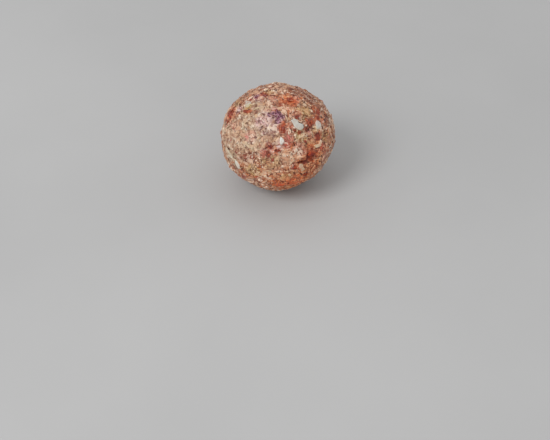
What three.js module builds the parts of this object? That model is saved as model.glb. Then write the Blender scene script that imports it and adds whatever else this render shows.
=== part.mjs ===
// An energy ball: one lump of ground nuts, dates, coconut and dried berries, rolled between two palms.
// Millimetres, +Z up. It stands on z = 0, and the origin is under the middle of its bounding box.
import * as THREE from "three";
import { ImprovedNoise } from "three/addons/math/ImprovedNoise.js";
import { mergeVertices } from "three/addons/utils/BufferGeometryUtils.js";

// Driving dimensions.
const FULL_RADIUS = 16.5; // from the middle of the ball to where the palms pressed it least
const FOOT_DROP = 15.4; // from the middle down to the small flat spot that it stands on
const FLAT_HARDNESS = 20; // how tightly the ball turns from one palm flat to the next
const WAVE = 6.5; // length of the slow unevenness that rolling leaves
const WAVE_RISE = 0.28;
const RIPPLE = 2.6; // length of the quicker unevenness, where bits lie close under the surface
const RIPPLE_RISE = 0.13;
const BUMP_SPREAD = 1.5; // how many times wider than the bit itself the rise over it fades out
const CRACK_DEPTH = 0.42; // of the fold that rolling didn't close
const CRACK_WIDTH = 1.3;
const FACE_ROWS = 19; // how finely the surface is divided: 8,000 triangles, a millimetre across
const VIEW_TILT = 38; // degrees above level of the side view that the bits below are placed in

const degrees = THREE.MathUtils.degToRad;

// The direction from the middle of the ball that is turned round from +X towards +Y, then raised.
function heading(turn, raise) {
  const level = Math.cos(degrees(raise));
  return new THREE.Vector3(
    level * Math.cos(degrees(turn)),
    level * Math.sin(degrees(turn)),
    Math.sin(degrees(raise)),
  );
}

// The direction of a spot that lies so far across and up from the middle, in millimetres,
// as the ball is seen from its -Y side and VIEW_TILT above level.
function seenAt(across, up) {
  const near = heading(-90, VIEW_TILT);
  const above = heading(90, 90 - VIEW_TILT);
  const deep = Math.sqrt(FULL_RADIUS ** 2 - across ** 2 - up ** 2);
  return new THREE.Vector3(across, 0, 0)
    .addScaledVector(above, up)
    .addScaledVector(near, deep)
    .normalize();
}

// Palm flats: where each faces, and how far from the middle it lies.
const palmFlats = [
  { faces: heading(-56, -46), reach: 14.8 },
  { faces: heading(-22, -26), reach: 15.5 },
  { faces: heading(-109, -50), reach: 15.7 },
  { faces: heading(-134, -42), reach: 15.6 },
  { faces: heading(60, 48), reach: 15.85 },
  { faces: heading(124, 46), reach: 16.05 },
  { faces: heading(-128, 36), reach: 16.3 },
  { faces: heading(-48, 34), reach: 16.4 },
  { faces: heading(-92, -6), reach: 16.3 },
  { faces: heading(-70, 80), reach: 16.2 },
  { faces: heading(14, -50), reach: 16.2 },
  { faces: heading(48, -2), reach: 16.0 },
  { faces: heading(96, -38), reach: 16.1 },
  { faces: heading(112, 6), reach: 16.3 },
  { faces: heading(150, -30), reach: 16.4 },
];

// Bits pressed in from outside that still stand a little proud, and hollows, which rise less than nothing.
const bumps = [
  { at: seenAt(5.8, 3.4), wide: 2.0, rise: 0.3 }, // split white nut
  { at: seenAt(11.7, 3.6), wide: 1.4, rise: 0.26 }, // small white nut
  { at: seenAt(1.3, -0.6), wide: 1.2, rise: 0.22 }, // sliver of coconut
  { at: seenAt(6.9, -8.8), wide: 1.3, rise: 0.28 }, // pale nut below the crack
  { at: seenAt(-11.9, -7.6), wide: 1.5, rise: 0.24 }, // pale nut at the lower left
  { at: seenAt(-8.9, 9.6), wide: 1.7, rise: 0.24 }, // seed half at the upper left
  { at: seenAt(-13.4, 6.5), wide: 1.5, rise: 0.18 }, // red fruit at the left edge
  { at: seenAt(7.4, -4.9), wide: 1.9, rise: 0.42 }, // lump above the crack
  { at: seenAt(2.3, -13.4), wide: 2.6, rise: 0.3 }, // fold of date at the bottom
  { at: seenAt(9.1, 2.2), wide: 1.5, rise: -0.4 }, // hollow between the two white nuts
  { at: seenAt(11.6, -0.1), wide: 1.3, rise: -0.36 }, // hollow under the small white nut
  { at: seenAt(-2.2, -2.9), wide: 1.2, rise: -0.26 }, // hollow by the dark berry
  { at: seenAt(-4.3, 11.8), wide: 1.6, rise: -0.22 }, // seam near the top
  { at: heading(15, 12), wide: 1.8, rise: 0.3 },
  { at: heading(40, -12), wide: 2.0, rise: 0.34 },
  { at: heading(48, 30), wide: 1.4, rise: -0.34 },
  { at: heading(75, 24), wide: 2.2, rise: 0.3 },
  { at: heading(84, -14), wide: 1.5, rise: -0.4 },
  { at: heading(104, 34), wide: 1.6, rise: 0.28 },
  { at: heading(128, -8), wide: 2.3, rise: 0.36 },
  { at: heading(146, 22), wide: 1.5, rise: -0.34 },
  { at: heading(152, -42), wide: 1.8, rise: 0.3 },
  { at: heading(178, 6), wide: 1.6, rise: 0.26 },
  { at: heading(-118, -20), wide: 1.7, rise: -0.3 },
];

// The crack is a chain of short straight stretches, seen as the bits are.
const crack = [
  seenAt(5.4, -7.2),
  seenAt(7.8, -7.1),
  seenAt(9.0, -5.7),
  seenAt(10.4, -4.8),
].map((direction) => direction.multiplyScalar(FULL_RADIUS));

// How high a soft-edged bump stands at a distance from its middle.
function swell(distance, width) {
  return Math.exp(-((distance / (width / 2)) ** 2));
}

// The palms' rounded-off facets: every flat cuts the sphere, and a power mean softens each edge.
function rolledRadius(direction) {
  let sum = FULL_RADIUS ** -FLAT_HARDNESS;
  for (const { faces, reach } of palmFlats) {
    const facing = Math.max(direction.dot(faces), 0);
    sum += (facing / reach) ** FLAT_HARDNESS;
  }
  return sum ** (-1 / FLAT_HARDNESS);
}

const noise = new ImprovedNoise();

// The two sizes of unevenness, one on the other.
function unevenness(point) {
  const waveAt = point.clone().divideScalar(WAVE);
  const rippleAt = point.clone().divideScalar(RIPPLE);
  return (
    WAVE_RISE * noise.noise(waveAt.x, waveAt.y, waveAt.z) +
    RIPPLE_RISE * noise.noise(rippleAt.x, rippleAt.y, rippleAt.z)
  );
}

function bumpHeight(point) {
  let height = 0;
  for (const { at, wide, rise } of bumps) {
    const middle = at.clone().multiplyScalar(FULL_RADIUS);
    height += rise * swell(point.distanceTo(middle), wide * BUMP_SPREAD);
  }
  return height;
}

function crackDepth(point) {
  const nearest = new THREE.Vector3();
  let distance = Infinity;
  for (let i = 1; i < crack.length; i++) {
    const stretch = new THREE.Line3(crack[i - 1], crack[i]);
    stretch.closestPointToPoint(point, true, nearest);
    distance = Math.min(distance, point.distanceTo(nearest));
  }
  return CRACK_DEPTH * swell(distance, CRACK_WIDTH);
}

// Where the surface lies in a direction: shaped by the palms, then uneven, then cut off flat at the foot.
function surfacePoint(direction) {
  const onSphere = direction.clone().multiplyScalar(FULL_RADIUS);
  const radius =
    rolledRadius(direction) + unevenness(onSphere) + bumpHeight(onSphere) - crackDepth(onSphere);
  const point = direction.clone().multiplyScalar(radius);
  if (point.z < -FOOT_DROP) point.multiplyScalar(FOOT_DROP / -point.z).setZ(-FOOT_DROP);
  return point;
}

// A finely divided icosahedron with every corner moved out or in to the surface, as one closed skin.
function ballGeometry() {
  const sphere = new THREE.IcosahedronGeometry(1, FACE_ROWS);
  sphere.deleteAttribute("normal");
  sphere.deleteAttribute("uv");
  const skin = mergeVertices(sphere);
  const corners = skin.getAttribute("position");
  for (let i = 0; i < corners.count; i++) {
    const direction = new THREE.Vector3().fromBufferAttribute(corners, i).normalize();
    corners.setXYZ(i, ...surfacePoint(direction));
  }
  skin.computeBoundingBox();
  const middle = skin.boundingBox.getCenter(new THREE.Vector3());
  skin.translate(-middle.x, -middle.y, FOOT_DROP);
  skin.computeVertexNormals();
  return skin;
}

const paste = new THREE.MeshStandardMaterial({ color: 0xbe967d, roughness: 0.7, metalness: 0 });

const ball = new THREE.Mesh(ballGeometry(), paste);
ball.name = "energy_ball";

const energyBall = new THREE.Group();
energyBall.add(ball);

export default energyBall;
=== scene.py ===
import math

import bmesh
import bpy
import numpy as np
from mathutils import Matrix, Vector
from mathutils.bvhtree import BVHTree


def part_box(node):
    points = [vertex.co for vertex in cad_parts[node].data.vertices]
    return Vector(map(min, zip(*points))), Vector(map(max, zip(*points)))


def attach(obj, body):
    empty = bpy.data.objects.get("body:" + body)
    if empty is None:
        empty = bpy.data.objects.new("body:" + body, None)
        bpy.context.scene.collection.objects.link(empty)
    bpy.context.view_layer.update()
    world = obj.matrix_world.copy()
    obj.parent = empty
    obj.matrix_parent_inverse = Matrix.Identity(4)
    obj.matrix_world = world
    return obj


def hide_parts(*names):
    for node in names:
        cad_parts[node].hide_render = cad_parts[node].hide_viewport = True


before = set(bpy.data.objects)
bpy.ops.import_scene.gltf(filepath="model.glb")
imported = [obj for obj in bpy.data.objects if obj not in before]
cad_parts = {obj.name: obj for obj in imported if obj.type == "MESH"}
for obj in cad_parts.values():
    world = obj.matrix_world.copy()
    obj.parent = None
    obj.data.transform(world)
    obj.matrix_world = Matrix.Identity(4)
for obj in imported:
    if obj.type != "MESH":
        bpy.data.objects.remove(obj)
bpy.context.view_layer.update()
MM = 0.001


# The viewpoint: a long lens that looks down at the ball from the front, 29 cm away. The
# bits that show best are placed by the pixel where the photograph has them.
PHOTO_WIDTH, PHOTO_HEIGHT = 550, 440
BALL_PIXEL = (278.0, 136.8)
FOCAL_PIXELS = 1000
SENSOR_WIDTH = 36
LOOK_DOWN = math.radians(43)
EYE_DISTANCE = 289 * MM

low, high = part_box("energy_ball")
ball_middle = (low + high) / 2
looking = Vector((0, math.cos(LOOK_DOWN), -math.sin(LOOK_DOWN)))
upwards = Vector((0, math.sin(LOOK_DOWN), math.cos(LOOK_DOWN)))


def ray_to(pixel):
    """The direction from the camera to a pixel of the photograph."""
    across = (pixel[0] - PHOTO_WIDTH / 2) / FOCAL_PIXELS
    up = (PHOTO_HEIGHT / 2 - pixel[1]) / FOCAL_PIXELS
    return looking + Vector((across, 0, 0)) + upwards * up


eye = ball_middle - ray_to(BALL_PIXEL) * EYE_DISTANCE
bpy.ops.object.camera_add(location=eye, rotation=(math.pi / 2 - LOOK_DOWN, 0, 0))
camera = bpy.context.object
camera.data.sensor_width = SENSOR_WIDTH
camera.data.lens = FOCAL_PIXELS / PHOTO_WIDTH * SENSOR_WIDTH
camera.data.clip_start = EYE_DISTANCE / 20
camera.data.clip_end = EYE_DISTANCE * 50
bpy.context.scene.camera = camera


# Plain soft studio light: one wide lamp from the left and above, and an even pale room.
TOWARDS_LAMP = Vector((-0.48, -0.5, 0.7))
LAMP_DISTANCE = 0.9
LAMP_WIDTH = 0.42
LAMP_WATTS = 4
ROOM_BRIGHTNESS = 0.74

bpy.ops.object.light_add(type="AREA", location=ball_middle + TOWARDS_LAMP * LAMP_DISTANCE)
lamp = bpy.context.object
lamp.rotation_euler = TOWARDS_LAMP.to_track_quat("Z", "Y").to_euler()
lamp.data.shape = "DISK"
lamp.data.size = LAMP_WIDTH
lamp.data.energy = LAMP_WATTS

room = bpy.data.worlds.new("room")
room.use_nodes = True
room.node_tree.nodes["Background"].inputs["Color"].default_value = (1, 1, 1, 1)
room.node_tree.nodes["Background"].inputs["Strength"].default_value = ROOM_BRIGHTNESS
bpy.context.scene.world = room
bpy.context.scene.view_settings.view_transform = "Standard"


# The floor: a plain pale grey surface, faintly cloudy as fine concrete is. Its material is the
# first, so the class that writes materials as sums comes here.
FLOOR_WIDTH = 6
CLOUD_WIDTH = 0.12


class Wire:
    """One output in a tree of nodes. Sums written with wires add Math nodes; node() adds others."""

    def __init__(self, tree, socket=None):
        self.tree = tree
        self.socket = socket

    def node(self, kind, settings=None, inputs=None, out=0):
        """A new node with these settings, and these values or wires in its sockets."""
        made = self.tree.nodes.new(kind)
        for name, value in (settings or {}).items():
            if name == "stops":
                ramp = made.color_ramp.elements
                while len(ramp) < len(value):
                    ramp.new(1)
                for stop, (place, colour) in zip(ramp, value):
                    stop.position = place
                    stop.color = colour
            else:
                setattr(made, name, value)
        for name, value in (inputs or {}).items():
            if isinstance(value, Wire):
                self.tree.links.new(value.socket, made.inputs[name])
            else:
                made.inputs[name].default_value = value
        return Wire(self.tree, made.outputs[out])

    def other(self, out):
        """Another output of the same node."""
        return Wire(self.tree, self.socket.node.outputs[out])

    def sum(self, operation, first, second):
        return self.node("ShaderNodeMath", {"operation": operation}, {0: first, 1: second})

    def __add__(self, other):
        return self.sum("ADD", self, other)

    def __sub__(self, other):
        return self.sum("SUBTRACT", self, other)

    def __rsub__(self, other):
        return self.sum("SUBTRACT", other, self)

    def __mul__(self, other):
        return self.sum("MULTIPLY", self, other)

    def __lt__(self, other):
        return self.sum("LESS_THAN", self, other)

    __radd__ = __add__
    __rmul__ = __mul__

    def painted(self, name, out="Fac"):
        """What a piece's corners store by a name, as a number, or with out="Vector" as a vector."""
        return self.node("ShaderNodeAttribute", {"attribute_name": name}, out=out)

    def rise(self, start, end):
        """0 up to start, 1 from end on, and a soft step between."""
        span = {"Value": self, "From Min": start, "From Max": end}
        return self.node("ShaderNodeMapRange", {"interpolation_type": "SMOOTHSTEP"}, span)

    def plus(self, vector):
        """This vector with another added."""
        return self.node("ShaderNodeVectorMath", {"operation": "ADD"}, {0: self, 1: vector})

    def times(self, number):
        """This vector made longer or shorter."""
        return self.node("ShaderNodeVectorMath", {"operation": "SCALE"}, {0: self, "Scale": number})

    def noise(self, length, detail=2.0, out=0):
        """Cloudy noise over this vector, whose clouds are length long."""
        settings = {"Vector": self, "Scale": 1 / length, "Detail": detail}
        return self.node("ShaderNodeTexNoise", None, settings, out)

    def towards(self, colour, share):
        """This colour mixed with another, by a share from 0 to 1."""
        inputs = {0: share, 6: self, 7: colour}
        return self.node("ShaderNodeMix", {"data_type": "RGBA"}, inputs, out=2)

    def between(self, first, second):
        """The colour that lies this far, from 0 to 1, from the first colour to the second."""
        inputs = {0: self, 6: first, 7: second}
        return self.node("ShaderNodeMix", {"data_type": "RGBA"}, inputs, out=2)

    def dyed(self, colour):
        """This colour soaked with the juice of another."""
        settings = {"data_type": "RGBA", "blend_type": "MULTIPLY"}
        return self.node("ShaderNodeMix", settings, {0: 1, 6: self, 7: colour}, out=2)

    def ramp(self, *stops):
        """The colour that a scale of evenly spaced colours shows at this number."""
        last = len(stops) - 1
        places = [(i / last, colour) for i, colour in enumerate(stops)]
        return self.node("ShaderNodeValToRGB", {"stops": places}, {0: self})


def srgb(red, green, blue):
    """A colour given as it is read off a screen, from 0 to 255, as the light it stands for."""
    shares = (value / 255 for value in (red, green, blue))
    light = [s / 12.92 if s < 0.04045 else ((s + 0.055) / 1.055) ** 2.4 for s in shares]
    return (*light, 1)


def new_material(name):
    """A material, its Principled shader's sockets, and a wire to add nodes with."""
    material = bpy.data.materials.new(name)
    material.use_nodes = True
    shader = material.node_tree.nodes["Principled BSDF"]
    return material, shader.inputs, Wire(material.node_tree)


def feed(sockets, **wires):
    """Links each wire to the shader socket of that name."""
    for name, wire in wires.items():
        wire.tree.links.new(wire.socket, sockets[name.replace("_", " ").title()])


bpy.ops.mesh.primitive_plane_add(size=FLOOR_WIDTH)
floor = bpy.context.object
floor.name = "floor"
concrete, sockets, wire = new_material("pale_concrete")
place = wire.node("ShaderNodeTexCoord", out="Object")
cloudy = place.noise(CLOUD_WIDTH, 5).rise(0.3, 0.7)
feed(sockets, base_color=cloudy.between(srgb(172, 172, 172), srgb(178, 178, 178)))
sockets["Roughness"].default_value = 0.85
floor.data.materials.append(concrete)


# The ball itself: date paste with finely ground nuts, rolled between the palms. Its shape is
# the solid's, and its skin is uneven with crumbs, pits and a fold that didn't close.
SKIN_CUTS = 97  # of each edge of the 20-sided start, which makes 192,080 triangles
SKIN_START = 18 * MM  # radius of the round skin that is then drawn in to the solid
SKIN_EASE = 14  # rounds of smoothing, which take away the solid's own facets
FOOT_FADE = (0.1, 1.2)  # mm above the floor, between which the relief grows to its full height

bpy.ops.object.select_all(action="DESELECT")
bpy.ops.mesh.primitive_ico_sphere_add(
    subdivisions=1, radius=SKIN_START, location=ball_middle, calc_uvs=False
)
ball = bpy.context.object
ball.name = "paste_ball"
bpy.ops.object.mode_set(mode="EDIT")
bpy.ops.mesh.select_all(action="SELECT")
bpy.ops.mesh.subdivide(number_cuts=SKIN_CUTS)
bpy.ops.object.mode_set(mode="OBJECT")


def finish_with(piece, kind, **settings):
    """Adds a modifier to a piece and applies it."""
    modifier = piece.modifiers.new(kind.lower(), kind)
    for name, value in settings.items():
        setattr(modifier, name, value)
    bpy.context.view_layer.objects.active = piece
    bpy.ops.object.modifier_apply(modifier=modifier.name)


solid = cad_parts["energy_ball"]
finish_with(ball, "CAST", cast_type="SPHERE", factor=1, size=SKIN_START, use_radius_as_size=False)
finish_with(
    ball, "SHRINKWRAP", target=solid, wrap_method="PROJECT",
    use_negative_direction=True, use_positive_direction=True,
)
finish_with(ball, "SMOOTH", factor=0.5, iterations=SKIN_EASE)
bpy.ops.object.transform_apply(location=True, rotation=True, scale=True)
smooth_skin = BVHTree.FromObject(ball, bpy.context.evaluated_depsgraph_get())


def corners(mesh):
    """A mesh's corners as rows of x, y and z."""
    flat = np.empty(len(mesh.vertices) * 3)
    mesh.vertices.foreach_get("co", flat)
    return flat.reshape(-1, 3)


def remember(mesh, name, kind, values):
    """Stores a value for each corner of a mesh, which materials then read by name."""
    attribute = mesh.attributes.new(name, kind, "POINT")
    field = "vector" if kind == "FLOAT_VECTOR" else "value"
    attribute.data.foreach_set(field, np.asarray(values, np.float32).ravel())


def seen_at(x, y):
    """The place on the smooth skin that a pixel of the photograph shows, in mm from the middle."""
    place = smooth_skin.ray_cast(eye, ray_to((x, y)).normalized())[0]
    return np.array(place - ball_middle) / MM


BALL_RADIUS = 16.2  # mm, about what the smooth skin has

# What tints the paste, as the pixel that shows the middle of each spot and its reach in mm.
SEEN_STAINS_AND_LIGHT = {
    # A pale dusting of nut flour; the largest spot, left of the middle, is also a painted highlight
    # where the lamp's broad sheen falls.
    "dusty": (
        (256, 127, 10.5), (238, 136, 8.0), (236, 150, 5.0), (252, 112, 5.0), (284, 160, 4.0),
        (226, 140, 5.0), (225, 127, 4.5), (229, 153, 4.5), (241, 167, 4.6),
    ),
    # A date-rich orange tone on the right and at the bottom that is also painted bounce light,
    # thrown up onto those sides.
    "warm": (
        (318, 112, 6.0), (322, 140, 7.0), (304, 182, 8.0), (272, 184, 7.0), (310, 165, 7.0),
        (294, 102, 6.0), (246, 172, 4.5), (290, 146, 4.0), (312, 150, 5.0), (262, 176, 5.0),
        (282, 168, 4.0),
    ),
    "golden": (
        (301, 136.5, 3.2), (285, 178, 2.4), (253, 171, 3.4), (325, 136, 2.4), (309.5, 146, 2.2),
        (248, 107, 1.6), (238, 101, 3.2), (304, 111, 4.0), (270, 163, 4.0), (268, 92, 2.2),
        (315, 130, 2.2), (270, 157.5, 1.6),
    ),
    "pink": (
        (289, 138, 2.2), (249.5, 136, 2.8), (233.5, 126, 1.6), (272, 151, 1.6), (322, 147, 2.4),
        (272, 99, 2.4), (229, 121, 2.0), (262, 120, 2.6), (305, 154, 2.6), (239, 157, 1.6),
        (299, 147, 2.6), (325, 156, 3.0), (287.5, 105.5, 2.2),
    ),
    # A mauve haze round the violet bits; the first two spots, left of the middle, are also a
    # painted highlight where the lamp's sheen falls.
    "lilac": (
        (269, 122, 5.6), (261, 122, 3.4), (258, 96, 3.0), (238, 109.5, 1.9), (280, 143, 2.0),
        (280, 119, 2.2), (279, 147, 1.8),
    ),
    "rosy": (
        (288.5, 139, 2.8), (321.5, 148, 2.2), (297.5, 114, 2.0), (295, 99, 2.2), (264, 153, 2.0),
        (296, 166.5, 2.4), (287, 182, 2.8), (230.5, 113, 3.0), (274.5, 109, 1.6), (284, 131, 2.0),
        (287, 145, 1.8),
    ),
    "pale": (
        (278, 88, 2.6), (314, 131, 3.2), (315, 147.5, 3.6), (273, 167, 4.5), (284, 159, 4.6),
        (294, 177, 4.6), (288, 134, 2.4), (269, 103, 2.6), (306, 165, 2.6), (304, 132, 1.8),
        (236, 129, 3.0), (322, 158, 2.4), (227, 134, 3.0),
    ),
    "brown": (
        (299, 92, 4.4), (310, 98, 4.4), (301, 103, 2.6), (292, 103, 3.0), (320, 108, 3.0),
        (244, 157, 3.4), (282, 101.5, 2.4), (270, 135, 2.8), (236, 150, 2.0), (327, 119, 3.0),
        (249.5, 154, 3.0), (267, 155, 2.4), (243, 96, 2.6), (263, 87, 2.2), (292, 89.5, 2.2),
        (311, 157, 2.0),
    ),
    "syrup": (
        (311, 164, 6.0), (294, 182, 7.0), (318, 150, 3.5), (304, 174, 4.5), (288.5, 100.5, 2.8),
        (229.5, 114, 3.4), (247, 111, 1.6),
    ),
    "orange": (
        (293, 100.5, 3.0), (283, 100, 1.9), (284, 125, 2.2), (292, 183, 3.0), (281, 185, 2.6),
        (306, 174.5, 2.6), (300, 181, 3.0), (313, 167, 3.0), (298, 177, 2.6), (248.7, 111.1, 0.9),
        (250.3, 110.9, 0.9), (310, 148, 2.0), (276, 151, 2.0), (320, 118, 3.0),
    ),
    "red": (
        (289.5, 99.5, 1.7), (281, 104, 1.0), (281.8, 127.6, 2.2), (284, 131, 1.4),
        (310.5, 123, 2.5), (306.5, 128.5, 1.5), (318, 136, 2.1), (311.5, 155, 3.4),
        (310.3, 158.8, 2.0), (305.8, 174.5, 1.5), (295.5, 168.5, 1.5), (280.3, 185, 0.9),
        (229.5, 113.5, 3.1), (226.8, 118.5, 2.2), (244.4, 111, 0.9), (246.6, 111.1, 1.0),
        (261.5, 94, 1.2), (266, 94.6, 1.2), (257, 96, 1.4), (318, 111, 1.8), (318, 118, 1.6),
        (326, 117, 1.6), (269.6, 146, 2.1), (278, 151, 1.2), (268, 153, 1.2), (232.5, 167, 1.2),
        # The last three spots, under the split nut, are painted shadow below it.
        (243, 176, 1.6), (298, 117, 1.4), (291.6, 127, 0.8), (294.6, 130.6, 0.8),
        (299.5, 132.6, 0.9),
    ),
    "violet": (
        (273.8, 113, 1.6), (277.8, 112.3, 1.7), (280, 116.5, 1.7), (278.5, 121, 1.3),
        (269.5, 114.5, 1.1), (256.5, 96, 1.2),
    ),
}
# How many more spots of each are on the side that doesn't show, their least and largest reach,
# and a seed.
UNSEEN_STAINS = {
    "dusty": (3, 6.0, 10.0, 3), "warm": (7, 4.0, 8.0, 4), "golden": (12, 1.8, 3.6, 5),
    "pink": (12, 1.6, 3.0, 6), "lilac": (4, 2.5, 5.0, 7), "rosy": (14, 1.8, 3.0, 13),
    "pale": (10, 2.4, 4.4, 10), "brown": (12, 2.0, 4.0, 12), "syrup": (4, 4.0, 7.0, 9),
    "orange": (14, 1.8, 3.2, 8), "red": (30, 1.2, 2.8, 1), "violet": (5, 1.3, 2.2, 2),
}

towards_eye = np.array((eye - ball_middle).normalized())

# How far a way out of the ball may point at the camera and still lead to an unseen stain: 0 is
# square to the line of sight, 1 is straight at the camera.
STAIN_UNSEEN = 0.1


def unseen(count, smallest, largest, seed):
    """Random spots on the side that the photograph doesn't show."""
    draws = np.random.default_rng(seed)
    spots = []
    while len(spots) < count:
        way = draws.normal(size=3)
        way /= np.linalg.norm(way)
        if way @ towards_eye < STAIN_UNSEEN:
            spots.append((way * BALL_RADIUS, draws.uniform(smallest, largest)))
    return spots


stains_and_light = {
    name: [(seen_at(x, y), reach) for x, y, reach in spots] + unseen(*UNSEEN_STAINS[name])
    for name, spots in SEEN_STAINS_AND_LIGHT.items()
}


def stain(mesh, points):
    """Stores where a mesh's corners lie in the ball, in mm, and how near they are to each stain and
    to each spot of painted highlight and painted bounce light.
    """
    remember(mesh, "rest", "FLOAT_VECTOR", points)
    for name, spots in stains_and_light.items():
        near = np.zeros(len(points))
        for middle, reach in spots:
            away = np.linalg.norm(points - middle, axis=1)
            near = np.maximum(near, 1 - away / reach)
        remember(mesh, name, "FLOAT", near)


rest = (corners(ball.data) - np.array(ball_middle)) / MM
stain(ball.data, rest)

# The fold that rolling didn't close, as the pixels it runs through and its reach in mm to each
# side.
FOLD_PIXELS = ((299.6, 162.8), (301.8, 163.2), (305, 162.4), (308, 159), (309, 155.6))
FOLD_REACH = 1.5

fold_points = [seen_at(*pixel) for pixel in FOLD_PIXELS]
fold_near = np.zeros(len(rest))
for start, end in zip(fold_points, fold_points[1:]):
    along = (rest - start) @ (end - start) / ((end - start) @ (end - start))
    nearest = start + np.clip(along, 0, 1)[:, None] * (end - start)
    away = np.linalg.norm(rest - nearest, axis=1)
    fold_near = np.maximum(fold_near, 1 - away / FOLD_REACH)
remember(ball.data, "fold", "FLOAT", fold_near)


def crumbs(point, size):
    """Ragged crumbs about size mm across: how far in from the edge, and three random draws each."""
    warp = point.noise(size * 1.6, 2, "Color").times(size * 2.0)
    settings = {"Vector": point.plus(warp), "Scale": 1 / size}
    edge = point.node("ShaderNodeTexVoronoi", {"feature": "DISTANCE_TO_EDGE"}, settings)
    draw = point.node("ShaderNodeTexVoronoi", {"feature": "F1"}, settings, "Color")
    first = point.node("ShaderNodeSeparateXYZ", None, {0: draw})
    return edge, first, first.other(1), first.other(2)


# Sizes in mm of the lumps that the paste breaks into and of the crumbs in it, and the share of
# all cells that hold a crumb and not paste.
LUMP = 3.3
COARSE, COARSE_SHARE = 1.7, 0.6
MIDDLING, MIDDLING_SHARE = 0.95, 0.55
FINE, FINE_SHARE = 0.5, 0.5

# How high in mm they stand, as the least and how much more the tallest has. Then the height of
# the slow and quick waves under them, the depth of what is cut into them, and how far all of it
# is let down so that the skin keeps the solid's size.
LUMP_LEAST, LUMP_MORE = 0.06, 0.24
COARSE_LEAST, COARSE_MORE = 0.02, 0.19
MIDDLING_MORE = 0.16
SLOW_WAVE, QUICK_WAVE = 0.46, 0.1
SEAM_DEPTH, PIT_DEPTH, FOLD_DEPTH = 0.16, 0.2, 0.6
LET_DOWN = 0.27


def pits_at(point):
    """1 in the small pits where a crumb fell out or air was caught, and 0 elsewhere. They are cut
    into the skin, and the paste is painted darker in them as painted shade.
    """
    return point.noise(0.85, 3).rise(0.58, 0.68)


def seams_at(point, lump_edge):
    """1 along some of the lines where two lumps of paste meet, and 0 elsewhere."""
    return (1 - lump_edge.rise(0.0, 0.09)) * point.noise(3.5, 2).rise(0.44, 0.56)


relief = bpy.data.node_groups.new("relief", "GeometryNodeTree")
relief.interface.new_socket("Geometry", in_out="INPUT", socket_type="NodeSocketGeometry")
relief.interface.new_socket("Geometry", in_out="OUTPUT", socket_type="NodeSocketGeometry")
wire = Wire(relief)


def stored(name, kind="FLOAT"):
    """What the skin's corners store by a name, as painted() is for materials."""
    return wire.node("GeometryNodeInputNamedAttribute", {"data_type": kind}, {"Name": name})


untouched = wire.node("NodeGroupInput")
point = stored("rest", "FLOAT_VECTOR")
lump_edge, lump_rise, _, _ = crumbs(point, LUMP)
coarse_edge, coarse_draw, coarse_rise, _ = crumbs(point, COARSE)
mid_edge, mid_draw, mid_rise, _ = crumbs(point, MIDDLING)
lumps = lump_edge.rise(0.0, 0.3) * (lump_rise * LUMP_MORE + LUMP_LEAST)
lumps = lumps - seams_at(point, lump_edge) * SEAM_DEPTH
coarse = coarse_edge.rise(0.0, 0.2) * (coarse_draw < COARSE_SHARE)
coarse = coarse * (coarse_rise * COARSE_MORE + COARSE_LEAST)
middling = mid_edge.rise(0.0, 0.25) * (mid_draw < MIDDLING_SHARE) * (mid_rise * MIDDLING_MORE)
slow = (point.noise(2.1, 3) - 0.5) * SLOW_WAVE
quick = (point.noise(0.55, 1) - 0.5) * QUICK_WAVE
waves = slow + quick - LET_DOWN
fold = (stored("fold") + (point.noise(0.8, 2) - 0.5) * 0.24).rise(0.52, 0.9)
smears = (stored("red") + (point.noise(1.1, 3) - 0.5) * 0.9).rise(0.3, 0.6)
bits = (coarse + middling) * (1 - smears * 0.5)
height = bits + lumps + waves - pits_at(point) * PIT_DEPTH - fold * FOLD_DEPTH
above_floor = wire.node("ShaderNodeSeparateXYZ", None, {0: point}).other(2) + (ball_middle.z / MM)
outwards = wire.node("GeometryNodeInputNormal")
offset = outwards.times(height * above_floor.rise(*FOOT_FADE) * MM)
moved = wire.node("GeometryNodeSetPosition", None, {"Geometry": untouched, "Offset": offset})
end = relief.nodes.new("NodeGroupOutput")
relief.links.new(moved.socket, end.inputs[0])
finish_with(ball, "NODES", node_group=relief)
rough_skin = BVHTree.FromObject(ball, bpy.context.evaluated_depsgraph_get())

# The ball's own map: six square charts, three to a row, as of a box drawn round it. Each
# triangle lies on the chart of the side that it faces.
CHART_FILL = 0.96  # the share of a chart's width that is used, so that no two charts touch

triangles = np.empty(len(ball.data.polygons) * 3, int)
ball.data.polygons.foreach_get("vertices", triangles)
facets = rest[triangles].reshape(-1, 3, 3)
facing = facets.mean(axis=1)
side = np.abs(facing).argmax(axis=1)
positive = facing[np.arange(len(side)), side] > 0
forward, across, up = (
    np.take_along_axis(facets, ((side + turn) % 3)[:, None, None], axis=2)[..., 0]
    for turn in range(3)
)
angles = np.stack([np.arctan2(axis, np.abs(forward)) for axis in (across, up)], axis=-1)
charts = (angles / (math.pi / 4) * CHART_FILL + 1) / 2
charts += np.stack([side, positive], axis=-1)[:, None]
ball.data.uv_layers.new(name="OFBake").data.foreach_set("uv", (charts / (3, 2)).ravel())


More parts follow.
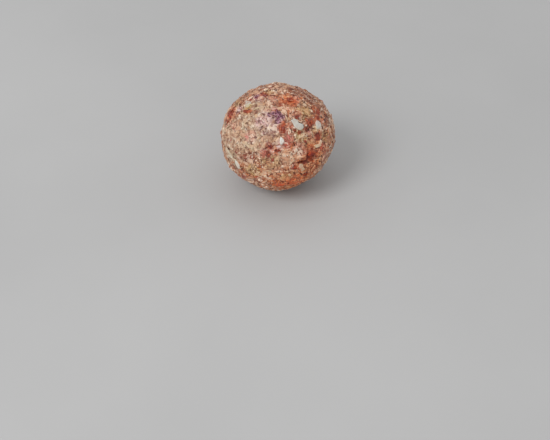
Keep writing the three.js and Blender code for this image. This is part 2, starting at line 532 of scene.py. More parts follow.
def paste_tint(wire):
    """The paste's colour spot by spot, with painted highlight and painted bounce light among the
    spots, how far the spots cover it, and the juice that dyes what is in it.
    """
    point = wire.painted("rest", "Vector")
    ragged = point.noise(1.4, 4) - 0.5
    drift = point.noise(2.8, 4) - 0.5

    def near(name, uneven, start, end):
        return (wire.painted(name) + uneven).rise(start, end)

    lump_edge, _, _, lump_shade = crumbs(point, LUMP)
    tint = point.noise(3.2, 4).rise(0.32, 0.68).between(srgb(138, 76, 52), srgb(186, 134, 102))
    lump_colour = lump_shade.ramp(
        srgb(200, 164, 140), srgb(190, 146, 108), srgb(176, 108, 80), srgb(184, 104, 60),
        srgb(146, 72, 54),
    )
    tint = tint.towards(lump_colour, lump_edge.rise(0.0, 0.15) * 0.6)
    # Painted highlight: paler and cooler where the lamp's sheen falls, over a real pale dusting of
    # nut flour.
    dusty = near("dusty", drift * 0.9, 0.1, 0.5)
    tint = tint.towards(srgb(182, 157, 132), dusty * 0.72)
    # Painted bounce light, orange on the right and at the bottom, over a date-rich tone.
    warm = near("warm", drift * 1.2, 0.05, 0.45)
    tint = tint.towards(srgb(204, 111, 60), warm * 0.8)
    golden = near("golden", ragged, 0.15, 0.6)
    tint = tint.towards(srgb(186, 154, 104), golden * 0.7)
    pink = near("pink", ragged, 0.15, 0.6)
    tint = tint.towards(srgb(214, 144, 130), pink * 0.55)
    # Painted highlight of the lamp's sheen, over a mauve haze round the violet bits.
    tint = tint.towards(srgb(212, 176, 182), near("lilac", drift, 0.1, 0.7) * 0.6)
    tint = tint.towards(srgb(220, 176, 146), near("pale", ragged, 0.1, 0.6) * 0.6)
    brown = near("brown", ragged, 0.15, 0.6)
    tint = tint.towards(srgb(132, 80, 58), brown * 0.8)
    tint = tint.towards(srgb(112, 44, 26), seams_at(point, lump_edge) * 0.7)
    rosy = near("rosy", ragged * 1.2, 0.15, 0.55)
    tint = tint.towards(srgb(196, 104, 92), rosy * 0.7)
    orange = near("orange", ragged * 1.2, 0.15, 0.55)
    tint = tint.towards(srgb(203, 109, 70), orange * 0.85)
    red = near("red", ragged * 1.4, 0.22, 0.55)
    deep = point.noise(1.2, 3).rise(0.38, 0.62)
    tint = tint.towards(deep.between(srgb(190, 84, 48), srgb(112, 28, 18)), red * 0.92)
    violet = near("violet", ragged * 1.7, 0.2, 0.5)
    dark = point.noise(0.5, 2).rise(0.42, 0.6)
    tint = tint.towards(dark.between(srgb(192, 140, 160), srgb(84, 16, 50)), violet * 0.9)
    clean = (1 - warm * 0.12) * (1 - golden * 0.25) * (1 - pink * 0.2) * (1 - dusty * 0.48)
    clean = clean * (1 - brown * 0.5) * (1 - rosy * 0.45) * (1 - orange * 0.45)
    clean = clean * (1 - red) * (1 - violet)
    syrup = near("syrup", drift * 0.6, 0.05, 0.5)
    juice = syrup.between(srgb(255, 255, 255), srgb(255, 231, 204))
    juice = juice.dyed(golden.between(srgb(255, 255, 255), srgb(252, 251, 238)))
    juice = juice.dyed(dusty.between(srgb(255, 255, 255), srgb(250, 255, 254)))
    return tint, 1 - clean, juice


SHEEN = 0.35  # the fat and sugar in the paste and in all the bits leave them a little shiny
GRIT = 0.16  # mm
GRIT_HEIGHT = 0.05 * MM

paste, sockets, wire = new_material("paste")
point = wire.painted("rest", "Vector")
coarse_edge, coarse_draw, _, coarse_shade = crumbs(point, COARSE)
mid_edge, mid_draw, mid_rise, mid_shade = crumbs(point, MIDDLING)
fine_edge, fine_draw, fine_rise, fine_shade = crumbs(point, FINE)
base, stain_and_light_share, juice = paste_tint(wire)
bare = 1 - stain_and_light_share * 0.78
mortar = (1 - coarse_edge.rise(0.0, 0.12)) * point.noise(1.7, 2).rise(0.35, 0.55)
base = base.towards(srgb(92, 38, 24), mortar * 0.95)
# The gaps and the painted shade in the pits are weaker under the dusting and the painted highlight.
sharp = 1 - wire.painted("dusty").rise(0.1, 0.5) * 0.75
gaps = (1 - mid_edge.rise(0.0, 0.1)) * sharp
base = base.towards(srgb(92, 38, 24), gaps * 0.7)
fine = fine_edge.rise(0.02, 0.1) * (fine_draw < FINE_SHARE) * (fine_rise * 0.6 + 0.25) * bare
fine_colour = fine_shade.ramp(srgb(250, 230, 208), srgb(220, 182, 156), srgb(124, 74, 54))
base = base.towards(fine_colour, fine)
middling = mid_edge.rise(0.02, 0.14) * (mid_draw < MIDDLING_SHARE) * (mid_rise * 0.6 + 0.35) * bare
mid_colour = mid_shade.ramp(
    srgb(250, 234, 214), srgb(226, 190, 164), srgb(208, 166, 128), srgb(172, 112, 86),
    srgb(82, 36, 24),
)
base = base.towards(mid_colour, middling)
coarse = coarse_edge.rise(0.04, 0.14) * (coarse_draw < COARSE_SHARE) * bare * 0.78
coarse_colour = coarse_shade.ramp(
    srgb(244, 226, 206), srgb(226, 194, 168), srgb(212, 168, 134), srgb(176, 112, 82),
    srgb(122, 60, 42),
)
base = base.towards(coarse_colour, coarse)
# The fold is painted dark red-brown: painted shade in the crease, on top of its real depth.
fold = (wire.painted("fold") + (point.noise(0.8, 2) - 0.5) * 0.24).rise(0.5, 0.72)
base = base.towards(srgb(108, 30, 14), fold * 0.9)
# The pits are painted darker: painted shade in them, on top of their real depth.
base = base.towards(srgb(76, 34, 24), pits_at(point) * (sharp * 0.5 + 0.4))
grit = point.noise(GRIT, 2)
bump = wire.node("ShaderNodeBump", None, {"Height": grit, "Distance": GRIT_HEIGHT, "Strength": 0.6})
rough = 0.46 - stain_and_light_share * 0.1 + fine * 0.12
feed(sockets, base_color=base.dyed(juice), normal=bump, roughness=rough)
sockets["Specular IOR Level"].default_value = SHEEN
ball.data.materials.append(paste)
for polygon in ball.data.polygons:
    polygon.use_smooth = True
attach(ball, "root")
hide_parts("energy_ball")


# White nuts and coconut, chopped coarsely: hard dry chunks, each with an outline of its own,
# that the palms pressed flush into the paste.
CHUNK_THICK = 1.1  # mm, as the next four are
CHUNK_VOXEL = 0.13  # the grid that a bit's mesh is rebuilt on
CHUNK_WEAR = 0.16  # how unevenly its surface is worn
GRAIN = 0.8  # how wide one worn spot is
GRAIN_APART = 7.1  # how far apart in the grain two bits are worn, so that no two wear alike

# Where a bit's map has its top and its underside, each as the middle and reach of a disc, and
# how far down a triangle faces when it belongs to the underside.
TOP_DISC = (0.37, 0.37, 0.35)
UNDER_DISC = (0.86, 0.86, 0.12)
UNDER_SLOPE = -0.45


def unwrapped(points, faces):
    """Each triangle's corners on a unit square: spread out from the top, the underside apart."""
    middle = (points.max(axis=0) + points.min(axis=0)) / 2
    away = points - middle
    away = away / np.linalg.norm(away, axis=1)[:, None]
    drop = np.arccos(np.clip(away[:, 2], -1, 1))
    level = away[:, :2] / np.maximum(np.linalg.norm(away[:, :2], axis=1), 1e-6)[:, None]
    a, b, c = (points[faces[:, i]] for i in range(3))
    facing = np.cross(b - a, c - a)
    under = facing[:, 2] < UNDER_SLOPE * np.linalg.norm(facing, axis=1)
    reach = drop[faces[~under]].max()
    over_map = np.array(TOP_DISC[:2]) + level * (drop / reach)[:, None] * TOP_DISC[2]
    flat = away[:, :2] * np.linalg.norm(points - middle, axis=1)[:, None]
    flat = flat / np.linalg.norm(flat, axis=1).max()
    under_map = np.array(UNDER_DISC[:2]) + flat * UNDER_DISC[2]
    return np.where(under[:, None, None], under_map[faces], over_map[faces])


def modelled(bit):
    """A finished scratch bit as its corners, its triangles and their places on a map."""
    bpy.context.view_layer.objects.active = bit
    bpy.ops.object.mode_set(mode="EDIT")
    bpy.ops.mesh.select_all(action="SELECT")
    bpy.ops.mesh.normals_make_consistent(inside=False)
    bpy.ops.mesh.quads_convert_to_tris()
    bpy.ops.object.mode_set(mode="OBJECT")
    points = corners(bit.data)
    faces = np.empty(len(bit.data.polygons) * 3, int)
    bit.data.polygons.foreach_get("vertices", faces)
    bpy.data.objects.remove(bit)
    faces = faces.reshape(-1, 3)
    return points, faces, unwrapped(points, faces)


def chip(reaches, thick, seed):
    """A flat bit, in mm: a disc, its rim drawn in and out to these reaches, thickened and worn."""
    bpy.ops.object.select_all(action="DESELECT")
    bpy.ops.mesh.primitive_circle_add(vertices=len(reaches), radius=1, fill_type="NGON")
    bit = bpy.context.object
    bpy.ops.object.mode_set(mode="EDIT")
    shape = bmesh.from_edit_mesh(bit.data)
    step = math.tau / len(reaches)
    for corner in shape.verts:
        bpy.ops.mesh.select_all(action="DESELECT")
        corner.select = True
        turn = round(math.atan2(corner.co.y, corner.co.x) / step) % len(reaches)
        bpy.ops.transform.resize(value=(reaches[turn],) * 3, center_override=(0, 0, 0))
    bpy.ops.mesh.select_all(action="SELECT")
    move = {"value": (0, 0, thick)}
    bpy.ops.mesh.extrude_region_move(TRANSFORM_OT_translate=move)
    bpy.ops.mesh.select_all(action="SELECT")
    bpy.ops.mesh.normals_make_consistent(inside=False)
    bpy.ops.object.mode_set(mode="OBJECT")
    finish_with(bit, "REMESH", mode="VOXEL", voxel_size=CHUNK_VOXEL)
    finish_with(bit, "SMOOTH", factor=0.5, iterations=4)
    grain = bpy.data.textures.new("grain", "CLOUDS")
    grain.noise_scale = GRAIN
    grain.noise_depth = 2
    grain.contrast = 1.2
    bit.location = (seed * GRAIN_APART, 0, 0)
    finish_with(bit, "DISPLACE", texture=grain, texture_coords="GLOBAL", strength=CHUNK_WEAR)
    return modelled(bit)


class Board:
    """The places on the skin that bits have taken, each as its middle and its reach in mm."""

    def __init__(self, room):
        self.spots = np.zeros((room, 4))
        self.count = 0

    def take(self, middle, reach, spacing):
        """Takes a place, unless another lies nearer than their two reaches times spacing."""
        used = self.spots[:self.count]
        away = np.linalg.norm(used[:, :3] - middle, axis=1)
        if np.any(away < (used[:, 3] + reach) * spacing):
            return False
        self.spots[self.count] = (*middle, reach)
        self.count += 1
        return True


MOST_BITS = 12000
CLEAR_OF_FOLD = 0.6  # mm, on each side of the fold and at each of these shares of a stretch
STRETCH_SHARES = (0, 0.33, 0.67, 1)

board = Board(MOST_BITS)
for start, end in zip(fold_points, fold_points[1:]):
    for share in STRETCH_SHARES:
        board.take(start + (end - start) * share, CLEAR_OF_FOLD, 0)


def square_on(middle):
    """The way straight out of the smooth skin over a place in mm from the middle."""
    slope = smooth_skin.ray_cast(ball_middle, Vector(middle).normalized())[1]
    return np.array(slope)


MOST_STRETCH = 1.8  # how many times its length a bit may have near the edge of the ball


def laid_on(way, out):
    """A way across the photograph, laid on the slanting skin so that it looks its own length."""
    laid = way - towards_eye * (way @ out) / (towards_eye @ out)
    return laid * min(1, MOST_STRETCH / np.linalg.norm(laid))


def seen_bit(shape, x, y, size, proud=0.16, turn=0, shade=0.5, room=0.5):
    """A bit that looks the right way round and in scale at a pixel of the photograph. It stands
    proud by so many mm, and random bits keep off it by room times its size."""
    middle = seen_at(x, y)
    out = square_on(middle)
    across = laid_on(np.array((1, 0, 0)), out)
    up = laid_on(np.array(upwards), out)
    c, s = math.cos(math.radians(turn)), math.sin(math.radians(turn))
    wide, tall = size if isinstance(size, tuple) else (size, size)
    axes = np.column_stack(((across * c + up * s) * wide, (up * c - across * s) * tall, out))
    board.take(middle, room * max(wide, tall), 0)
    return shape, axes, middle, proud, shade


BIT_UNSEEN = 0.05  # for bits what STAIN_UNSEEN is for stains
TRIES = 8  # for each bit, before the ball counts as full
LEAN = 0.5  # how far a bit leans with the crumb that it lies on
DRAWN_OUT = (0.8, 1.25)  # how much longer it is made one way and shorter the other


def loose_bits(count, shapes, smallest, largest, seed, flat=0.7, proud=(0.3, 0.45), tilt=0.2,
               spacing=0.8, hidden=False, skew=2.0, foot=-0.93):
    """Random bits of the first few shapes, all over the ball or only where it is hidden, many
    small and few large, none where another lies and none further down than foot."""
    draws = np.random.default_rng(seed)
    bits = []
    for _ in range(count * TRIES):
        if len(bits) == count:
            break
        way = draws.normal(size=3)
        way /= np.linalg.norm(way)
        size = smallest + (largest - smallest) * draws.random() ** skew
        if way[2] < foot or (hidden and way @ towards_eye > BIT_UNSEEN):
            continue
        if not board.take(way * BALL_RADIUS, size / 2, spacing):
            continue
        place, slope, *_ = rough_skin.ray_cast(ball_middle, Vector(way))
        middle = np.array(place - ball_middle) / MM
        out = square_on(way) + np.array(slope) * LEAN + draws.normal(size=3) * tilt
        out /= np.linalg.norm(out)
        across = np.cross(out, draws.normal(size=3))
        across /= np.linalg.norm(across)
        up = np.cross(out, across)
        stretch = draws.uniform(*DRAWN_OUT)
        axes = np.column_stack((across * size * stretch, up * size / stretch, out * size * flat))
        height = draws.uniform(*proud) * size * flat
        bits.append((draws.integers(shapes), axes, middle, height, draws.random()))
    return bits


ROUNDED = math.radians(50)  # an edge that turns by less than this looks round


def pressed_in(name, shapes, bits, finish, drape=None):
    """One piece, joined from a copy of a shape for each bit, each lying as deep as it says. With
    a skin to drape them on, the bits follow its curve and don't lie flat."""
    cells = math.ceil(math.sqrt(len(bits)))
    points, faces, maps, prouds, shades = [], [], [], [], []
    count = 0
    for index, (shape, axes, middle, proud, shade) in enumerate(bits):
        own, triangles, own_map = shapes[shape]
        length = np.linalg.norm(axes[:, 2])
        out = axes[:, 2] / length
        lift = proud - own[:, 2].max() * length
        level = own * (1, 1, 0) @ axes.T + middle
        height = own[:, 2] * length + lift
        if drape:
            for row, spot in enumerate(level):
                way = Vector(spot).normalized()
                place = drape.ray_cast(ball_middle, way)[0]
                level[row] = np.array(place - ball_middle) / MM
            out = level / np.linalg.norm(level, axis=1)[:, None]
        points.append(level + out * height[:, None])
        faces.append(triangles + count)
        count += len(own)
        corner = np.array((index % cells, index // cells))
        maps.append((own_map + corner) / cells)
        prouds.append(height)
        shades.append(np.full(len(own), shade))
    spots = np.concatenate(points) * MM + np.array(ball_middle)
    spots[:, 2] = np.maximum(spots[:, 2], 0)
    mesh = bpy.data.meshes.new(name)
    mesh.from_pydata(spots.tolist(), [], np.concatenate(faces).tolist())
    mesh.uv_layers.new(name="OFBake").data.foreach_set("uv", np.concatenate(maps).ravel())
    stain(mesh, np.concatenate(points))
    remember(mesh, "proud", "FLOAT", np.concatenate(prouds))
    remember(mesh, "shade", "FLOAT", np.concatenate(shades))
    mesh.materials.append(finish)
    piece = bpy.data.objects.new(name, mesh)
    bpy.context.collection.objects.link(piece)
    bpy.ops.object.select_all(action="DESELECT")
    piece.select_set(True)
    bpy.context.view_layer.objects.active = piece
    bpy.ops.object.shade_smooth_by_angle(angle=ROUNDED)
    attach(piece, "root")


def bit_material(name, colours, vein, rough, film_reach=0.1, mottle=0.25, haze=0.5, soak=0.68,
                 wrinkled=0.0):
    """A bit's own colour from its shade, mottled and veined, with paste on it where it lies low, in
    thin patches, and wherever the paste's spots of tint, painted highlight and painted bounce light
    cover it."""
    material, sockets, wire = new_material(name)
    point = wire.painted("rest", "Vector")
    tint, stain_and_light_share, juice = paste_tint(wire)
    colour = (wire.painted("shade") + (point.noise(0.6, 3) - 0.5) * mottle).ramp(*colours)
    colour = colour.towards(vein, point.noise(0.3, 3).rise(0.52, 0.7) * 0.45)
    uneven = (point.noise(0.5, 2) - 0.5) * 0.3
    smear = (film_reach - wire.painted("proud") + uneven).rise(-0.05, 0.08)
    patches = point.noise(1.1, 3).rise(0.38, 0.7)
    clear = (1 - smear * 0.85) * (1 - patches * haze) * (1 - stain_and_light_share * soak)
    colour = tint.towards(colour, clear).dyed(juice)
    uneven = point.noise(0.12, 2) * 0.03 + point.noise(0.7, 3) * wrinkled
    bump = wire.node("ShaderNodeBump", None, {"Height": uneven, "Distance": MM, "Strength": 0.6})
    feed(sockets, base_color=colour, roughness=smear * 0.15 + rough, normal=bump)
    sockets["Specular IOR Level"].default_value = SHEEN
    return material


# The outline of each shape, as its reach in mm from the middle to the rim, starting at the
# right and going round against the clock.
ROUNDISH, WEDGE, BLOCK, SICKLE, SPLIT_NUT = range(5)
OUTLINES = (
    (1.0, 0.92, 0.8, 0.95, 1.1, 0.9, 0.82, 1.0, 1.12, 0.88, 0.8, 0.95),
    (1.25, 0.8, 0.62, 0.66, 0.8, 1.0, 1.2, 0.95, 0.75, 0.7, 0.78, 0.95),
    (0.9, 1.05, 1.0, 0.85, 1.1, 1.2, 0.85, 0.8, 1.05, 0.9, 0.85, 1.15),
    (1.2, 0.9, 0.6, 0.35, 0.45, 0.85, 1.3, 1.0, 0.9, 0.85, 0.95, 1.1),
    (1.6, 0.7, 0.4, 1.1, 1.95, 2.3, 1.34, 1.27, 1.2, 1.47, 1.94, 2.06),
)

chunk_shapes = [
    chip(outline, CHUNK_THICK, seed) for outline, seed in zip(OUTLINES, (2, 3, 4, 5, 1))
]
white_nut = bit_material(
    "white_nut",
    (srgb(186, 183, 175), srgb(208, 207, 200), srgb(222, 212, 190), srgb(206, 178, 142)),
    srgb(188, 164, 136), 0.45, film_reach=0.1, haze=0.2, wrinkled=0.08, soak=0.25,
)
white_bits = [
    seen_bit(SPLIT_NUT, 298, 124.3, (1.0, 0.97), 0.27, 0, 0.04),
    seen_bit(ROUNDISH, 318, 124.8, (0.9, 1.4), 0.26, 8, 0.2),
    seen_bit(ROUNDISH, 281.7, 140.8, (0.66, 1.15), 0.26, 4, 0.33),
    seen_bit(ROUNDISH, 300.8, 165.6, (0.72, 0.78), 0.2, 15, 0.1),
    seen_bit(BLOCK, 302.3, 169.2, (0.74, 0.74), 0.15, 30, 0.04),
    seen_bit(BLOCK, 317.6, 145.6, (1.05, 0.5), 0.28, 18, 0.4),
    seen_bit(ROUNDISH, 320.3, 142.4, (0.42, 0.8), 0.24, -15, 0.45),
    seen_bit(ROUNDISH, 237.5, 164.6, (0.58, 1.5), 0.2, 26, 0.4),
    seen_bit(ROUNDISH, 247.4, 103.6, (1.15, 1.15), 0.13, 30, 0.04),
    seen_bit(WEDGE, 239, 110, (0.55, 0.6), 0.13, 0, 0.35),
    seen_bit(WEDGE, 273.6, 108.4, (0.8, 0.55), 0.13, 0, 0.6),
    seen_bit(ROUNDISH, 295.8, 150, (0.55, 0.85), 0.16, 0, 0.67),
    seen_bit(WEDGE, 285.8, 155, (0.85, 0.75), 0.11, 20, 0.53),
    seen_bit(ROUNDISH, 289.5, 131.5, (0.5, 1.0), 0.14, 0, 0.7),
    seen_bit(ROUNDISH, 289.5, 174.8, (0.5, 0.45), 0.14, 0, 0.47),
    seen_bit(WEDGE, 230, 155, (0.5, 1.6), 0.14, 30, 0.67),
    seen_bit(WEDGE, 272.3, 151.2, (0.65, 0.6), 0.14, 0, 0.47),
    seen_bit(BLOCK, 278.5, 147, (0.75, 0.45), 0.11, 20, 0.4),
]
white_bits += loose_bits(
    18, 4, 0.5, 1.2, 11, flat=0.35, proud=(0.24, 0.44), tilt=0.08, hidden=True, skew=1
)
pressed_in("white_nut_chunks", chunk_shapes, white_bits, white_nut, drape=smooth_skin)


# Dates: sticky brown flesh and thin orange-red skin, torn into soft flat rags that the rolling
# smeared along the surface.
RAG_THICK = 0.7
rag_shapes = [
    chip(outline, RAG_THICK, seed) for outline, seed in zip(OUTLINES[:SPLIT_NUT], (6, 7, 8, 9))
]
date_flesh = bit_material(
    "date_flesh", (srgb(78, 24, 16), srgb(120, 40, 24), srgb(156, 68, 40), srgb(184, 104, 66)),
    srgb(88, 30, 20), 0.34, film_reach=0.0, mottle=0.8, haze=0.7, soak=0.3, wrinkled=0.2,
)
date_bits = [
    seen_bit(ROUNDISH, 289.5, 99.5, (1.1, 0.9), 0.08, 10, 0.45, 0.25),
    seen_bit(WEDGE, 295.5, 101, (1.3, 0.8), 0.06, -20, 0.8, 0.25),
    seen_bit(SICKLE, 284, 102, (0.9, 0.6), 0.05, -20, 0.5, 0.25),
    seen_bit(BLOCK, 247, 111.2, (1.6, 0.5), 0.2, 0, 0.3, 0.25),
    seen_bit(ROUNDISH, 229.3, 113.8, (0.9, 1.25), 0.1, 20, 0.25, 0.25),
    seen_bit(SICKLE, 281.8, 127.6, (0.75, 1.2), 0.09, 10, 0.3, 0.25),
    seen_bit(WEDGE, 284, 124, (0.6, 0.8), 0.07, 15, 0.75, 0.25),
    seen_bit(BLOCK, 284.3, 131, (0.5, 0.7), 0.07, -15, 0.6, 0.25),
    seen_bit(SICKLE, 311, 123.5, (0.6, 1.1), 0.08, -35, 0.3, 0.25),
    seen_bit(ROUNDISH, 309, 126.3, (0.7, 0.6), 0.06, 20, 0.15, 0.25),
    seen_bit(BLOCK, 318, 136.8, (0.62, 1.2), 0.16, 0, 0.22, 0.25),
    # These two dark rags, under the split nut, are painted shadow below it.
    seen_bit(BLOCK, 294.6, 130.4, (0.8, 0.3), 0.12, -38, 0.1, 0.25),
    seen_bit(ROUNDISH, 299.8, 132.2, (1.0, 0.28), 0.12, 0, 0.15, 0.25),
    seen_bit(WEDGE, 312.3, 155, (0.75, 0.9), 0.08, 30, 0.3, 0.25),
    seen_bit(ROUNDISH, 310.5, 158.6, (0.6, 0.5), 0.06, 0, 0.0, 0.25),
    seen_bit(WEDGE, 305.8, 174.6, (0.8, 0.6), 0.07, 10, 0.3, 0.25),
    seen_bit(BLOCK, 291, 183, (1.7, 0.45), 0.08, -12, 0.85, 0.25),
    seen_bit(ROUNDISH, 279.5, 185.2, (1.3, 0.45), 0.07, 5, 0.7, 0.25),
    seen_bit(WEDGE, 278.3, 151, (0.6, 0.4), 0.08, 0, 0.6, 0.25),
    seen_bit(ROUNDISH, 252, 157.5, (1.0, 0.7), 0.05, 0, 0.5, 0.6),
    seen_bit(BLOCK, 244.5, 157, (0.8, 0.7), 0.05, 0, 0.6, 0.6),
    seen_bit(ROUNDISH, 268.2, 156.8, (0.6, 0.5), 0.06, 0, 0.4, 0.25),
    seen_bit(WEDGE, 318.4, 111.2, (0.35, 0.9), 0.07, 40, 0.15, 0.25),
    seen_bit(BLOCK, 319, 117.5, (0.3, 0.9), 0.06, 15, 0.4, 0.25),
]
date_bits += loose_bits(
    40, 4, 0.5, 1.3, 21, flat=0.5, proud=(0.1, 0.2), tilt=0.0, hidden=True, skew=1
)
pressed_in("date_rags", rag_shapes, date_bits, date_flesh, drape=rough_skin)


# Dried red berries, chopped: leathery, wrinkled bits, dark on the skin and brighter inside.
# Like all the smaller things, they are a few knife-cut shapes repeated, pressed into the paste.
CUT_REACH = (0.3, 0.42)  # mm from the middle of the pebble


def chopped(seed, cuts, subdivisions=1, rough=0.11):
    """A bit as a knife leaves it, about 1 mm across: a rough pebble with flat cuts."""
    draws = np.random.default_rng(seed)
    bpy.ops.object.select_all(action="DESELECT")
    bpy.ops.mesh.primitive_ico_sphere_add(subdivisions=subdivisions, radius=0.5)
    bit = bpy.context.object
    bpy.ops.object.mode_set(mode="EDIT")
    bpy.ops.mesh.select_all(action="SELECT")
    bpy.ops.transform.vertex_random(offset=rough, uniform=1, normal=0, seed=seed)
    for _ in range(cuts):
        facing = Vector(draws.normal(size=3)).normalized()
        bpy.ops.mesh.select_all(action="SELECT")
        bpy.ops.mesh.bisect(
            plane_co=facing * draws.uniform(*CUT_REACH), plane_no=facing,
            use_fill=True, clear_outer=True,
        )
    bpy.ops.object.mode_set(mode="OBJECT")
    return modelled(bit)


berry_shapes = [chopped(seed, 3, 2) for seed in range(31, 35)]
red_berry = bit_material(
    "red_berry", (srgb(74, 18, 18), srgb(122, 36, 32), srgb(160, 60, 54), srgb(202, 110, 100)),
    srgb(70, 16, 14), 0.36, film_reach=0.04, mottle=0.5, haze=0.35, soak=0.2, wrinkled=0.2,
)
berry_bits = [
    seen_bit(0, 289.2, 137.5, (1.3, 1.8), 0.12, 20, 0.75, 0.3),
    seen_bit(1, 269.6, 145.8, (1.5, 1.6), 0.2, 0, 0.0, 0.3),
    seen_bit(2, 311.8, 154.6, (1.9, 1.4), 0.16, 0, 0.45, 0.3),
    seen_bit(0, 310.4, 158.9, (1.6, 1.1), 0.2, 0, 0.0, 0.3),
    seen_bit(2, 275.4, 150.6, (0.8, 1.0), 0.18, 0, 0.0, 0.3),
    seen_bit(3, 315, 133, (0.9, 1.4), 0.1, 20, 0.25, 0.3),
    seen_bit(0, 263.5, 94.2, (2.4, 0.55), 0.16, -2, 0.15, 0.3),
    seen_bit(1, 286.5, 145, (1.2, 0.9), 0.1, 0, 0.6, 0.3),
    seen_bit(2, 306.5, 129.3, (0.9, 0.9), 0.16, 0, 0.15, 0.3),
    seen_bit(3, 298, 116.8, (1.5, 0.9), 0.08, 10, 0.5, 0.3),
    seen_bit(0, 322, 146.5, (0.9, 1.5), 0.08, 10, 0.8, 0.3),
    seen_bit(1, 295.6, 168.6, (0.7, 0.9), 0.08, 0, 0.1, 0.3),
]
berry_bits += loose_bits(130, 4, 0.6, 1.9, 32, flat=0.5, proud=(0.1, 0.3), tilt=0.1, skew=2.2)
pressed_in("red_berry_bits", berry_shapes, berry_bits, red_berry)


# A dark berry, nearly black, that was chopped fine: its juice colours the paste round it
# violet.
dark_berry = bit_material(
    "dark_berry", (srgb(62, 4, 26), srgb(104, 16, 48), srgb(152, 76, 106)),
    srgb(46, 8, 24), 0.4, film_reach=0.03, mottle=0.5, haze=0.1, soak=0.1,
)
DARK_PLACES = (
    (273, 113, 1.1), (275.8, 113.4, 1.0), (276.2, 109.6, 0.8), (278.2, 112.2, 1.1),
    (279.4, 115, 1.0), (278.3, 118.2, 1.0), (281, 116.8, 1.0), (275.2, 116.2, 0.6),
    (256, 97.5, 0.9), (268.2, 113, 0.6), (264, 114.5, 0.6), (269.8, 146.4, 1.0),
    (271.2, 148.8, 0.7),
)
dark_bits = [
    seen_bit(i % 4, x, y, size, 0.16, 50 * i, (i % 3) / 4)
    for i, (x, y, size) in enumerate(DARK_PLACES)
]
dark_bits += loose_bits(26, 4, 0.6, 1.6, 42, flat=0.5, proud=(0.1, 0.3), tilt=0.1, hidden=True)
pressed_in("dark_berry_bits", berry_shapes, dark_bits, dark_berry)


# Coconut, shredded: thin pale strips, slightly curled, that the rolling laid flat along the
# skin.
SHRED_SIZE = (1, 0.16, 0.1)  # mm
SHRED_CUTS = 5
SHRED_WEAR = 0.025  # mm


def shred(seed, bend):
    """A strip 1 mm long: a bar cut into lengths, worn, and curled in its own plane."""
    bpy.ops.object.select_all(action="DESELECT")
    bpy.ops.mesh.primitive_cube_add(size=1, scale=SHRED_SIZE)
    bit = bpy.context.object
    bpy.ops.object.transform_apply(location=False, rotation=False, scale=True)
    bpy.ops.object.mode_set(mode="EDIT")
    shape = bmesh.from_edit_mesh(bit.data)
    bpy.ops.mesh.select_all(action="DESELECT")
    for edge in shape.edges:
        first, last = edge.verts
        edge.select = abs(first.co.x - last.co.x) > SHRED_SIZE[0] / 2
    bmesh.update_edit_mesh(bit.data)
    bpy.ops.mesh.subdivide(number_cuts=SHRED_CUTS)
    bpy.ops.mesh.select_all(action="SELECT")
    bpy.ops.transform.vertex_random(offset=SHRED_WEAR, uniform=1, normal=0, seed=seed)
    bpy.ops.object.mode_set(mode="OBJECT")
    finish_with(bit, "SIMPLE_DEFORM", deform_method="BEND", deform_axis="Z", angle=bend)
    return modelled(bit)


shred_shapes = [shred(51, 0.5), shred(52, -0.9), shred(53, 1.4), shred(54, 0.1)]
coconut = bit_material(
    "coconut", (srgb(226, 210, 186), srgb(214, 188, 156), srgb(198, 162, 130)),
    srgb(190, 160, 128), 0.42, film_reach=0.05, haze=0.35,
)
SHRED_PLACES = (
    (291.2, 157, 1.8, -48), (291.4, 162.2, 1.8, 46),
    (248, 146, 3.0, -48), (251, 148.5, 2.4, -52), (245.5, 149, 2.2, -40),
    (229, 152, 3.2, -58), (232.5, 158, 2.6, -52), (238, 166, 2.2, -50),
    (261, 126, 1.8, 30), (270, 171, 2.0, -20), (243, 126, 2.0, 80), (300, 112, 2.2, -25),
    (308, 104, 2.0, -35), (257, 108, 2.2, 20), (247, 93, 2.0, 25), (313, 168, 2.0, 55),
)
shred_bits = [
    seen_bit(i % 4, x, y, size, 0.09, turn, (i % 5) / 5)
    for i, (x, y, size, turn) in enumerate(SHRED_PLACES)
]
shred_bits += loose_bits(
    420, 4, 0.7, 2.2, 55, flat=0.9, proud=(0.03, 0.05), tilt=0.0, spacing=0.45, skew=1.8
)
pressed_in("coconut_shreds", shred_shapes, shred_bits, coconut, drape=smooth_skin)


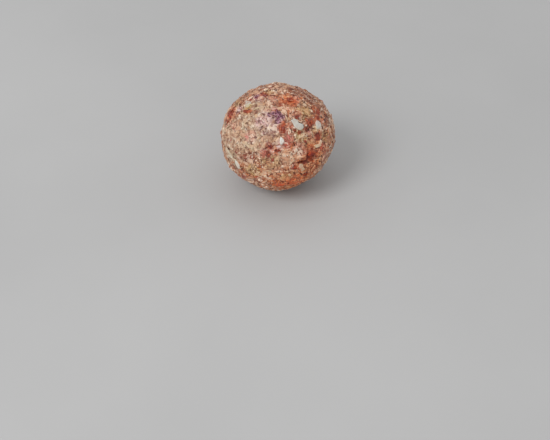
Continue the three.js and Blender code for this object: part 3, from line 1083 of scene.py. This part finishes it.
# Nuts, chopped finely: pale angular bits up to the size of a grain of rice, stirred into the
# paste and sticking out of it.
nut_shapes = [chopped(seed, 4, 1) for seed in range(61, 69)]
pale_nut = bit_material(
    "pale_nut",
    (srgb(234, 214, 186), srgb(222, 188, 156), srgb(206, 160, 122), srgb(184, 130, 96)),
    srgb(184, 140, 106), 0.5,
)
nut_bits = loose_bits(420, 8, 0.8, 1.7, 62, flat=0.6, proud=(0.1, 0.28), spacing=0.85, skew=2)
pressed_in("nut_bits", nut_shapes, nut_bits, pale_nut)


# The brown skin of the nuts, which came off as they were chopped: thin papery flecks, lying
# flat.
skin_shapes = [chopped(seed, 3, 1, 0.16) for seed in range(71, 75)]
nut_skin = bit_material(
    "nut_skin", (srgb(72, 34, 20), srgb(104, 54, 34), srgb(138, 80, 50)),
    srgb(60, 26, 16), 0.55, film_reach=0.02, mottle=0.4, haze=0.4, soak=0.45,
)
skin_bits = [
    # The first two flecks, under the split nut, are painted shadow below it.
    seen_bit(0, 294.4, 130.7, (1.2, 0.4), 0.3, -40, 0.0, 0.3),
    seen_bit(1, 299.6, 132.4, (1.7, 0.4), 0.3, -4, 0.1, 0.3),
    seen_bit(2, 310.3, 159.2, (1.3, 1.0), 0.36, 0, 0.0, 0.3),
    seen_bit(3, 291.5, 89.4, (2.2, 0.5), 0.26, -4, 0.1, 0.3),
    seen_bit(0, 249.6, 153.4, (1.1, 0.9), 0.26, 0, 0.2, 0.3),
    seen_bit(1, 272, 95.8, (2.4, 0.4), 0.26, 0, 0.1, 0.3),
    seen_bit(2, 305.3, 175.2, (1.0, 0.9), 0.24, 0, 0.3, 0.3),
]
skin_bits += loose_bits(420, 4, 0.25, 0.9, 72, flat=0.3, proud=(0.1, 0.3), spacing=0.8, skew=2)
pressed_in("nut_skin_flecks", skin_shapes, skin_bits, nut_skin)


# Nut meal: the finest crumbs, which the grinding left between the larger ones. They cover
# most of the skin.
meal = bit_material(
    "nut_meal",
    (srgb(246, 230, 210), srgb(230, 200, 174), srgb(210, 170, 140), srgb(178, 124, 98)),
    srgb(184, 136, 108), 0.52, film_reach=0.05, haze=0.5,
)
meal_bits = loose_bits(3000, 8, 0.3, 0.95, 82, flat=0.6, proud=(0.08, 0.34), spacing=0.75, skew=1.5)
pressed_in("nut_meal", nut_shapes, meal_bits, meal)
